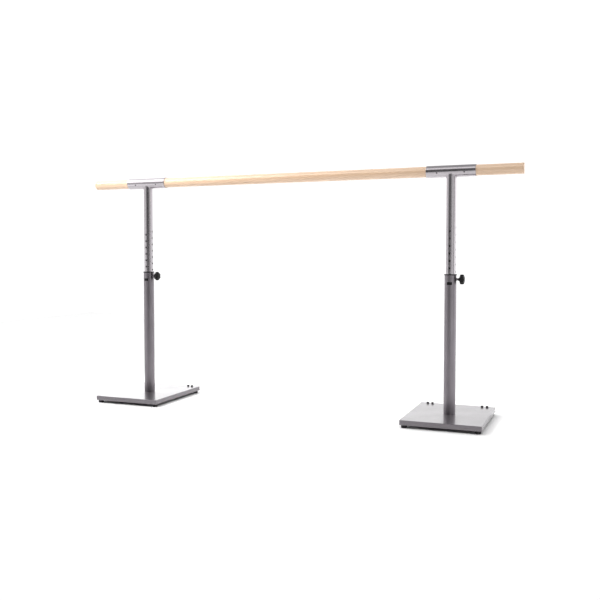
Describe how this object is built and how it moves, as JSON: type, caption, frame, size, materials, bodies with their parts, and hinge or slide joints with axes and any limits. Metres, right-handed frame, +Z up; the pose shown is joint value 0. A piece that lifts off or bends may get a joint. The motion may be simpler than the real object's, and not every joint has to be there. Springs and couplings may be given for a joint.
{
  "type": "portable ballet barre",
  "caption": "Free-standing ballet barre: a round wooden rail in tube sleeves on telescopic posts with index plungers and heavy base plates.",
  "frame": {"origin": "on the floor, under the centre of the whole object's box (under the middle of the rail, 16 mm behind the posts' axes)", "axes": "+X along the rail, +Y to the back where the wheels are, +Z up; -Y is the front"},
  "size_m": [2, 0.432, 1.0425],
  "materials": {
    "silver_paint": "satin silver-grey metallic paint, smooth",
    "satin_steel": "satin, fine brushing round the tube",
    "polished_steel": "polished, fine draw lines",
    "zinc_steel": "dull zinc plate",
    "spring_steel": "drawn wire",
    "black_steel": "black oxide, semi-matte",
    "black_plastic": "moulded, fine texture",
    "black_rubber": "matte moulded rubber",
    "wheel_rubber": "matte grey-black tyre",
    "beech": "turned beech, clear satin lacquer"
  },
  "bodies": {
    "stands": {"left_base_plate": "silver_paint", "left_foot_front_left": "black_rubber", "left_foot_back_left": "black_rubber", "left_foot_front_right": "black_rubber", "left_foot_back_right": "black_rubber", "left_bracket_bolt_left_outer": "black_steel", "left_bracket_bolt_left_inner": "black_steel", "left_bracket_bolt_right_outer": "black_steel", "left_bracket_bolt_right_inner": "black_steel", "left_wheel_bracket_left": "zinc_steel", "left_wheel_axle_left": "zinc_steel", "left_wheel_bracket_right": "zinc_steel", "left_wheel_axle_right": "zinc_steel", "left_lower_post": "satin_steel", "left_post_plug": "zinc_steel", "left_post_screw": "zinc_steel", "left_collar_bush": "black_plastic", "left_plunger_housing": "satin_steel", "left_plunger_spring": "spring_steel", "right_base_plate": "silver_paint", "right_foot_front_left": "black_rubber", "right_foot_back_left": "black_rubber", "right_foot_front_right": "black_rubber", "right_foot_back_right": "black_rubber", "right_bracket_bolt_left_outer": "black_steel", "right_bracket_bolt_left_inner": "black_steel", "right_bracket_bolt_right_outer": "black_steel", "right_bracket_bolt_right_inner": "black_steel", "right_wheel_bracket_left": "zinc_steel", "right_wheel_axle_left": "zinc_steel", "right_wheel_bracket_right": "zinc_steel", "right_wheel_axle_right": "zinc_steel", "right_lower_post": "satin_steel", "right_post_plug": "zinc_steel", "right_post_screw": "zinc_steel", "right_collar_bush": "black_plastic", "right_plunger_housing": "satin_steel", "right_plunger_spring": "spring_steel"},
    "rail_carriage": {"left_upper_post": "polished_steel", "left_post_glide": "black_plastic", "left_rail_sleeve": "polished_steel", "left_grub_screw_1": "black_steel", "left_grub_screw_2": "black_steel", "right_upper_post": "polished_steel", "right_post_glide": "black_plastic", "right_rail_sleeve": "polished_steel", "right_grub_screw_1": "black_steel", "right_grub_screw_2": "black_steel", "rail": "beech"},
    "left_wheel_left": {"left_wheel_left": "wheel_rubber"},
    "left_wheel_right": {"left_wheel_right": "wheel_rubber"},
    "left_plunger": {"left_plunger_pin": "zinc_steel", "left_plunger_knob": "black_plastic"},
    "right_wheel_left": {"right_wheel_left": "wheel_rubber"},
    "right_wheel_right": {"right_wheel_right": "wheel_rubber"},
    "right_plunger": {"right_plunger_pin": "zinc_steel", "right_plunger_knob": "black_plastic"}
  },
  "joints": [
    {"name": "rail_height", "type": "slide", "parent": "stands", "child": "rail_carriage", "axis": [0, 0, 1], "range_m": [-0.21, 0.12]},
    {"name": "left_plunger_pull", "type": "slide", "parent": "stands", "child": "left_plunger", "axis": [1, 0, 0], "range_m": [-0.0033, 0.005], "stiffness_N_per_m": 1500, "springref_m": -0.012, "deforming": ["left_plunger_spring"]},
    {"name": "left_wheel_left_spin", "type": "hinge", "parent": "stands", "child": "left_wheel_left", "pos_m": [-0.8315, 0.2025, 0.0145], "axis": [1, 0, 0], "continuous": true},
    {"name": "left_wheel_right_spin", "type": "hinge", "parent": "stands", "child": "left_wheel_right", "pos_m": [-0.5985, 0.2025, 0.0145], "axis": [1, 0, 0], "continuous": true},
    {"name": "right_plunger_pull", "type": "slide", "parent": "stands", "child": "right_plunger", "axis": [1, 0, 0], "range_m": [-0.0033, 0.005], "stiffness_N_per_m": 1500, "springref_m": -0.012, "deforming": ["right_plunger_spring"]},
    {"name": "right_wheel_left_spin", "type": "hinge", "parent": "stands", "child": "right_wheel_left", "pos_m": [0.5985, 0.2025, 0.0145], "axis": [1, 0, 0], "continuous": true},
    {"name": "right_wheel_right_spin", "type": "hinge", "parent": "stands", "child": "right_wheel_right", "pos_m": [0.8315, 0.2025, 0.0145], "axis": [1, 0, 0], "continuous": true}
  ]
}
